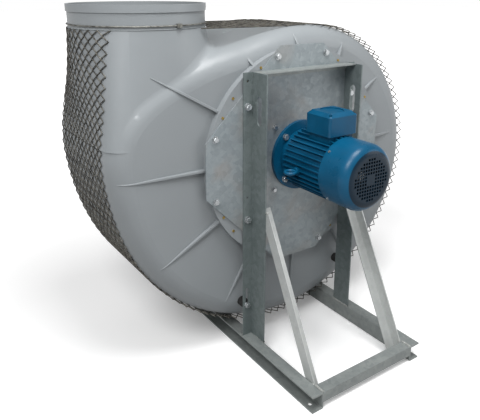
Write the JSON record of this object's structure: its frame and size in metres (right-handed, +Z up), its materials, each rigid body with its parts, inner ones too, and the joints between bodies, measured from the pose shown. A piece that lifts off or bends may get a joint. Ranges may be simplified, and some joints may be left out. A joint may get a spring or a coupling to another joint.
{
  "type": "centrifugal duct fan",
  "caption": "Floor-standing plastic centrifugal duct fan: a scroll casing with a round outlet on top, an axial inlet, a flange motor and a galvanised steel stand.",
  "frame": {"origin": "on the floor, at the centre of the four floor fixing holes", "axes": "+Z up; +Y from the motor along the shaft to the air inlet; +X to the right when facing the motor"},
  "size_m": [1.3041, 0.991, 1.232],
  "materials": {
    "galvanised_steel": "hot-dip galvanised sheet with spangle",
    "casing_plastic": "smooth grey polypropylene",
    "impeller_plastic": "moulded grey polypropylene",
    "motor_paint": "blue machine enamel",
    "zinc_fastener": "bright zinc plated",
    "rubber": "black rubber",
    "mesh_wire": "weathered galvanised wire",
    "machined_steel": "machined steel",
    "core_steel": "laminated steel",
    "copper": "enamelled copper wire",
    "felt": "grey felt",
    "black_plastic": "black moulded plastic"
  },
  "bodies": {
    "stand": {"backing_plate": "machined_steel", "bearing_front": "machined_steel", "bearing_rear": "machined_steel", "blank_gland": "black_plastic", "brace_left": "galvanised_steel", "brace_right": "galvanised_steel", "buffer_bolts": "zinc_fastener", "buffer_left": "rubber", "buffer_right": "rubber", "cable_clamp": "zinc_fastener", "casing_drive_half": "casing_plastic", "casing_inlet_half": "casing_plastic", "closing_disc": "casing_plastic", "cowl_screws": "zinc_fastener", "cross_member_front": "galvanised_steel", "cross_member_rear": "galvanised_steel", "cross_member_top": "galvanised_steel", "eyebolt": "zinc_fastener", "fan_cowl": "motor_paint", "guard_bridge": "mesh_wire", "guard_cable": "zinc_fastener", "guard_mesh": "mesh_wire", "inlet_cone": "casing_plastic", "inlet_screws": "zinc_fastener", "inner_bolts": "zinc_fastener", "lid_screws": "zinc_fastener", "motor_bolts": "zinc_fastener", "motor_flange": "motor_paint", "motor_frame": "motor_paint", "mounting_plate": "galvanised_steel", "outlet_spigot": "casing_plastic", "plate_bolts": "zinc_fastener", "post_bolts": "zinc_fastener", "post_left": "galvanised_steel", "post_right": "galvanised_steel", "rail_left": "galvanised_steel", "rail_right": "galvanised_steel", "rear_endshield": "motor_paint", "ring_screws": "zinc_fastener", "shaft_seal": "felt", "stator_core": "core_steel", "terminal_block": "black_plastic", "terminal_box": "motor_paint", "terminal_lid": "motor_paint", "windings": "copper"},
    "rotor": {"motor_shaft": "machined_steel", "rotor_core": "core_steel", "cooling_fan": "impeller_plastic", "impeller_hub": "impeller_plastic", "back_disc": "impeller_plastic", "impeller_blades": "impeller_plastic", "impeller_shroud": "impeller_plastic", "shaft_key": "machined_steel", "hub_bolt": "zinc_fastener"}
  },
  "joints": [
    {"name": "impeller_spin", "type": "hinge", "parent": "stand", "child": "rotor", "pos_m": [0, -0.057, 0.71], "axis": [0, 1, 0], "continuous": true}
  ]
}
